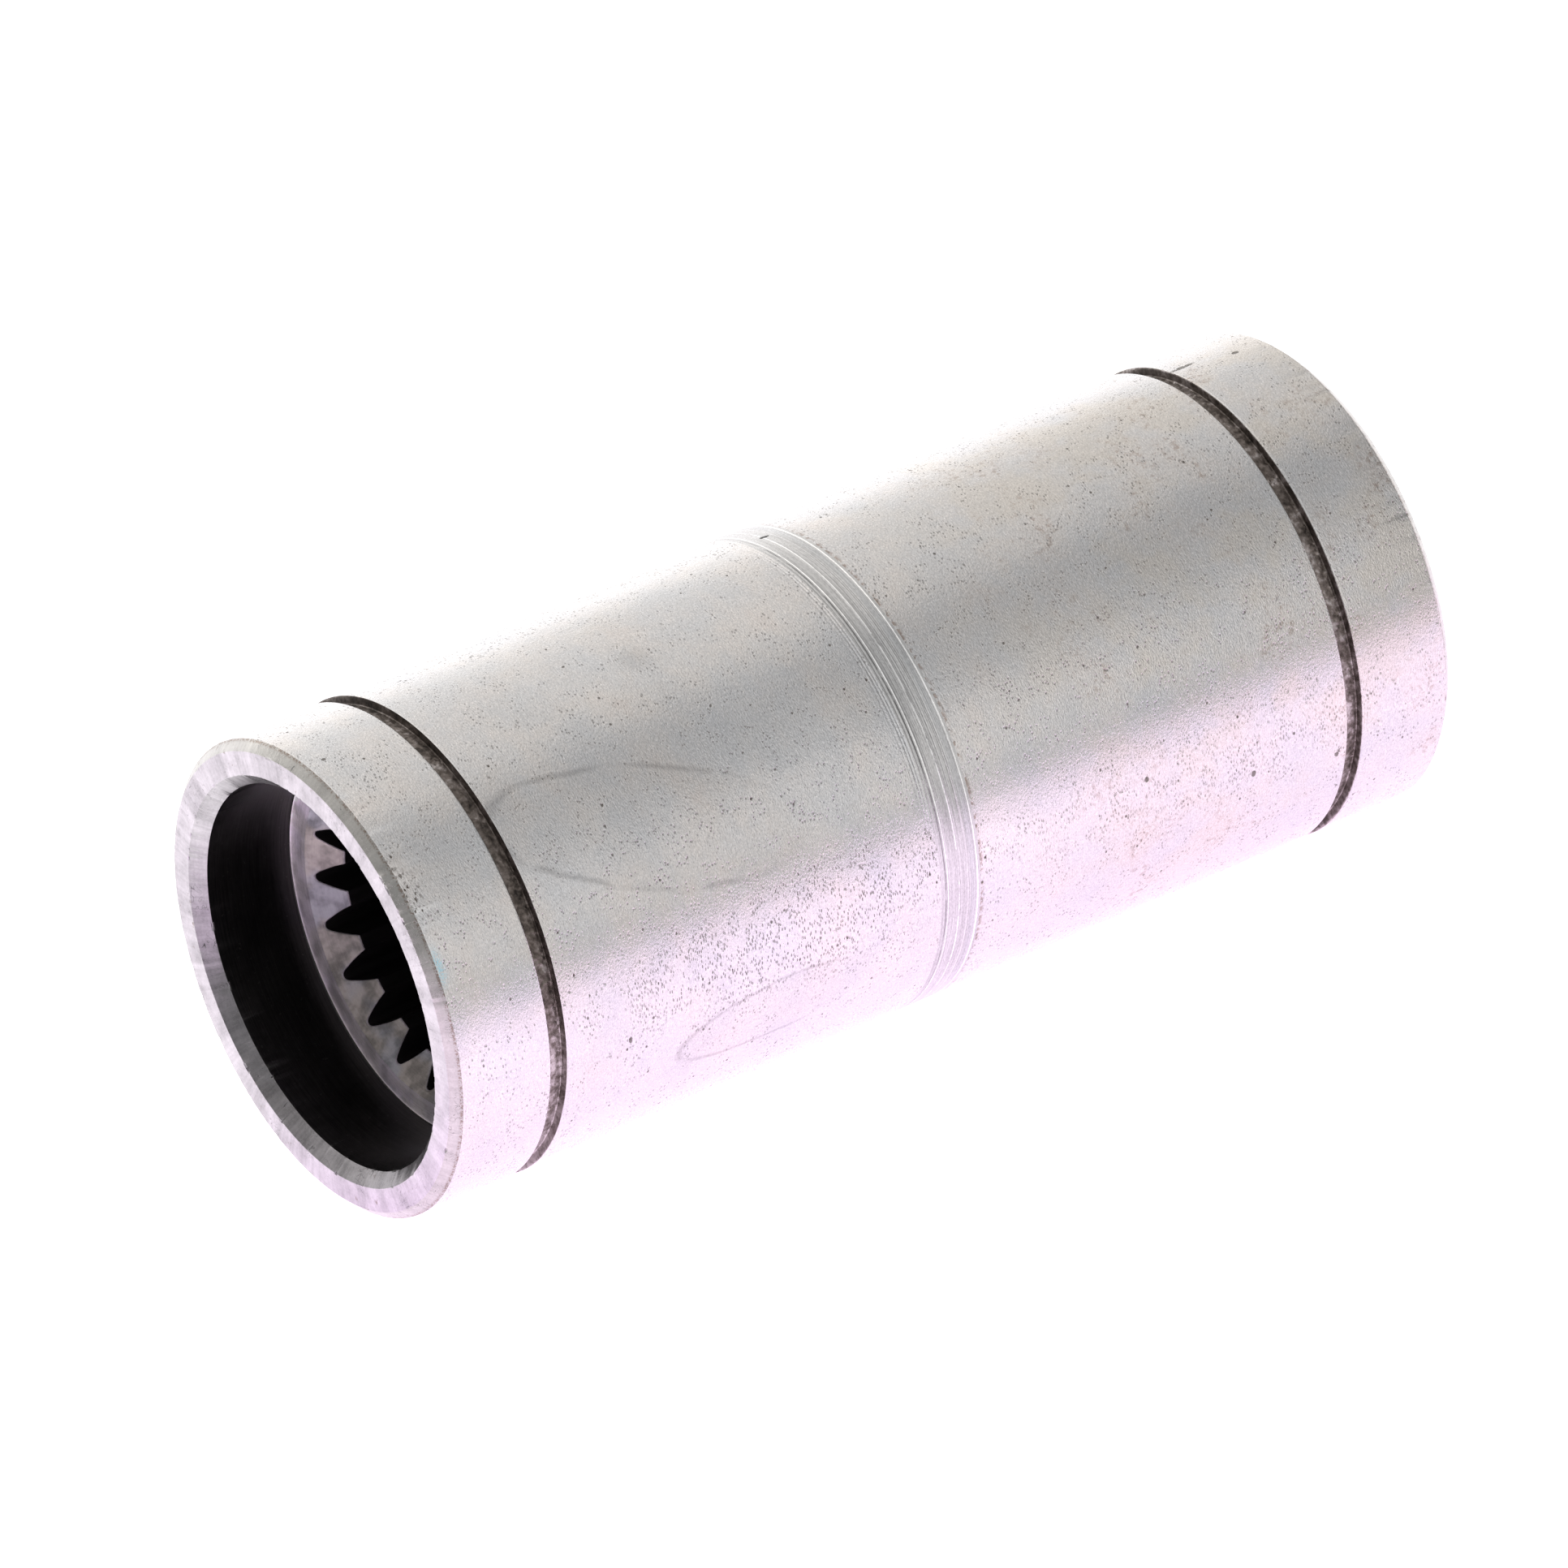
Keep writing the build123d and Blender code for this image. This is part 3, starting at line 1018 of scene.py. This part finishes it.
def makeHalf(name, rear, scribes, materials):
    # the half sleeve: its section is carried round the axis. On the lead-in and along the teeth each column
    # has the spline's radius at its own angle, so that the edges of the teeth lie on the grid's lines
    s = sleeve
    seed = s["rearSeed"] if rear else s["frontSeed"]
    angle, splineRadius = splineColumns()
    corners = outsideCorners(scribes)
    outline, surfaces, owners = sectionRows(corners, False)
    x = np.repeat(outline[:, :1], angle.size, 1)
    radius = np.repeat(outline[:, 1:], angle.size, 1)
    wearEdges(corners, owners, x, radius, angle, seed, not rear)
    for row in np.flatnonzero(np.isclose(outline[:, 1], s["grooveRadius"])):
        radius[row] += s["grooveGrit"] * ringNoise(angle, *s["grooveTurns"], seed + s["grooveSeed"] + row)
    lead = spline["leadInRadius"]
    crest = s["toothEdge"]
    coneEnd = s["stepX"] - (lead - splineRadius)
    rows = []
    for share in spline["coneShares"]:
        coneX = s["stepX"] + (coneEnd - s["stepX"]) * share
        rows.append((coneX, lead + (splineRadius - lead) * share, "toothEnd"))
    for share in spline["crestShares"]:
        alongCone = crest * (1 - share) ** 2 * math.sqrt(0.5)
        # the crest's middle rows take the pale step steel: a painted highlight along the teeth's edges
        surface = {0.0: "toothEnd", 1.0: "spline"}.get(share, "step")
        rows.append((coneEnd + alongCone - crest * share ** 2, splineRadius + alongCone, surface))
    innerX = s["pocketX"]
    for share in spline["lengthShares"]:
        rows.append((coneEnd - crest + (innerX - coneEnd + crest) * share, splineRadius, "spline"))
    joint, jointSurfaces, _ = sectionRows([(innerX, lead, 0, "turned", 0)] + jointCorners(rear), False)
    for point, surface in list(zip(joint, jointSurfaces))[1:]:
        rows.append((np.full(angle.size, point[0]), np.full(angle.size, point[1]), surface))
    x = np.concatenate([x, [row[0] for row in rows]])
    radius = np.concatenate([radius, [row[1] for row in rows]])
    surfaces = surfaces + [row[2] for row in rows]
    side = 1 if rear else -1
    piece = gridMesh(name, side * x, radius, angle, surfaces, materials, flip=not rear)
    dress(piece, "rear_half" if rear else "front_half")


def makeWeld(materials):
    # the weld band: a closed section carried round the axis, its surface a shallow turned recess whose floor
    # carries fine rings, each a small bell of its own height and width
    w = weld
    angle = np.linspace(0, 2 * math.pi, w["columns"], endpoint=False)
    x = np.linspace(-sleeve["weldX"], sleeve["weldX"], w["rows"])
    low = 1 / (1 + np.exp(-(x - w["recessStart"]) / w["recessSlope"]))
    high = 1 / (1 + np.exp(-(x - w["recessEnd"]) / w["recessSlope"]))
    radius = sleeve["outerRadius"] - w["flush"] - w["recessDepth"] * (low - high)
    for place, height, width in w["rings"]:
        radius = radius + height * np.exp(-((x - place) / width) ** 2)
    x = np.concatenate([x, [sleeve["weldRootX"], -sleeve["weldRootX"]]])
    radius = np.concatenate([radius, [sleeve["weldRootRadius"]] * 2])
    surfaces = ["weld"] * (w["rows"] - 1) + ["turned"] * 3
    inside = (np.abs(x) < w["recessEnd"] - w["wobbleInset"])[:, None]
    radius = radius[:, None] + w["wobble"] * ringNoise(angle, *w["wobbleTurns"], w["seed"]) * inside
    radius = np.minimum(radius, sleeve["outerRadius"] - w["flush"] / 2)
    x = np.repeat(x[:, None], angle.size, 1)
    dress(gridMesh("weld_band", x, radius, angle, surfaces, materials), "weld_ring")


stopRing = {
    "boreRadius": 12.48125,
    "chamfer": 0.4,
    "edge": 0.05,
    "columns": 360,
}


def makeStopRing(materials):
    # the stop ring: a chamfered section carried round the axis, its edges rounded
    r = stopRing
    low, high, end, cut = r["boreRadius"], stopHigh[2], stopHigh[0], r["chamfer"]
    corners = [(-end + cut, high), (end - cut, high), (end, high - cut), (end, low + cut),
               (end - cut, low), (-end + cut, low), (-end, low + cut), (-end, high - cut)]
    outline, surfaces, _ = sectionRows([(x, radius, r["edge"], "turned", 0) for x, radius in corners], True)
    angle = np.linspace(0, 2 * math.pi, r["columns"], endpoint=False)
    x = np.repeat(outline[:, :1], angle.size, 1)
    radius = np.repeat(outline[:, 1:], angle.size, 1)
    dress(gridMesh("shaft_stop_ring", x, radius, angle, surfaces, materials), "stop_ring")


studio = {
    "floorSize": 8.0,
    "floorShade": (0.6, 0.6, 0.6, 1),
    "floorRoughness": 0.9,
    "frontGlow": (1.33, 1.05, 1.38, 1),
    "backGlow": (1.16, 1.13, 1.16, 1),
    "glowChange": (-20.0, 20.0),  # from the front glow to the back glow, across the sleeve
    "farFade": (-60.0, -320.0, 0.34),  # between these places in front, the glow falls by this share
    # brightness of the sky by degrees from straight up, negative behind the sleeve, positive in front
    "sky": [(-90, 1.46), (-79, 1.27), (-67, 1.12), (-55, 1.03), (-43, 0.99), (-31, 0.94), (-19, 0.88),
            (-9, 0.86), (-6, 0.67), (4, 0.64), (16, 0.645), (28, 0.71), (40, 0.76), (52, 0.76), (64, 0.775),
            (76, 0.78), (88, 0.70)],
    "skyPeak": 1.5,
    "backWarmth": 0.02,  # the sky is this much warmer up to the degrees below
    "warmUntil": -7,
    # its share along the axis, from -1 past the front end to 1 past the rear end
    "alongAxis": [(-1.0, 0.62), (-0.85, 0.70), (-0.55, 0.80), (-0.30, 1.15), (-0.08, 1.45), (0.20, 1.30),
                  (0.458, 1.0), (0.70, 0.66), (1.0, 0.45)],
    "panel": {"distance": 0.30, "degrees": 60, "x": -0.024, "width": 0.11, "height": 0.20, "power": 0.017,
              "colour": (1.0, 0.92, 0.89)},
}


def makeFloor():
    # a pale floor that glows a little pink in front of the sleeve and neutral behind it
    size = studio["floorSize"]
    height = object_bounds()[0].z
    corners = [(-size, -size, height), (size, -size, height), (size, size, height), (-size, size, height)]
    mesh = bpy.data.meshes.new("floor")
    mesh.from_pydata(corners, [], [(0, 1, 2, 3)])
    floor = bpy.data.objects.new("floor", mesh)
    scene.collection.objects.link(floor)
    material, start, shader, place = newMaterial("pale_floor")
    across = axes(place)[1]
    near, far, fall = studio["farFade"]
    glow = across.step(*studio["glowChange"]).mixed(studio["frontGlow"], studio["backGlow"])
    start.feed(shader.inputs["Emission Color"], (1 - across.step(near, far) * fall).times(glow))
    shader.inputs["Base Color"].default_value = studio["floorShade"]
    shader.inputs["Roughness"].default_value = studio["floorRoughness"]
    shader.inputs["Specular IOR Level"].default_value = 0.0
    shader.inputs["Emission Strength"].default_value = 1.0
    mesh.materials.append(material)


def makePanel():
    # a weak soft panel above the near half, facing the sleeve along the way that its reflection travels
    panel = studio["panel"]
    turn = math.radians(panel["degrees"])
    across = math.sqrt(1 - camera["forward"][0] ** 2)
    away = Vector((camera["forward"][0], -across * math.sin(turn), across * math.cos(turn)))
    light = bpy.data.lights.new("front_panel", "AREA")
    light.shape = "ELLIPSE"
    light.size = panel["width"]
    light.size_y = panel["height"]
    light.energy = panel["power"]
    light.color = panel["colour"]
    made = bpy.data.objects.new("front_panel", light)
    made.location = Vector((panel["x"], 0, 0)) + away * panel["distance"]
    made.rotation_euler = away.to_track_quat("Z", "Y").to_euler()
    made.visible_camera = False
    scene.collection.objects.link(made)


def makeSky():
    # a soft sky whose brightness depends on the angle round the sleeve's axis and on the way along it
    world = bpy.data.worlds.new("studio")
    world.use_nodes = True
    scene.world = world
    start = Wire(world.node_tree)
    direction = start.node("ShaderNodeTexCoord", {}, {}, "Generated")
    x, _, angle = polar(direction)
    roundAxis = []
    for degrees, brightness in studio["sky"]:
        warmth = studio["backWarmth"] if degrees < studio["warmUntil"] else 0.0
        roundAxis.append(((degrees + 180) / 360, grey(brightness / studio["skyPeak"], warmth)))
    along = [((place + 1) / 2, grey(share / studio["skyPeak"])) for place, share in studio["alongAxis"]]
    values = {0: (angle / (2 * math.pi) + 0.5).ramp(roundAxis), 1: (x * 0.5 + 0.5).ramp(along)}
    colour = start.node("ShaderNodeVectorMath", {"operation": "MULTIPLY"}, values)
    background = world.node_tree.nodes["Background"]
    start.feed(background.inputs["Color"], colour)
    background.inputs["Strength"].default_value = studio["skyPeak"] ** 2


scene.view_settings.view_transform = "Standard"
makeCamera()
materials = {
    "ground": groundSteel(),
    "weld": weldSteel(),
    "faced": endSteel("faced"),
    "rim": endSteel("rim"),
    "mouth": endSteel("mouth"),
    "bored": boredSteel(),
    "spline": splineSteel(),
    "step": stepSteel("step"),
    "toothEnd": stepSteel("toothEnd"),
    "groove": grooveScale(),
    "turned": turnedSteel(),
}
print("materials", len(bpy.data.materials))
makeHalf("front_sleeve", False, weld["frontScribes"], materials)
makeHalf("rear_sleeve", True, [], materials)
makeWeld(materials)
makeStopRing(materials)
makeFloor()
makePanel()
makeSky()
print("floor, panel and sky ready")
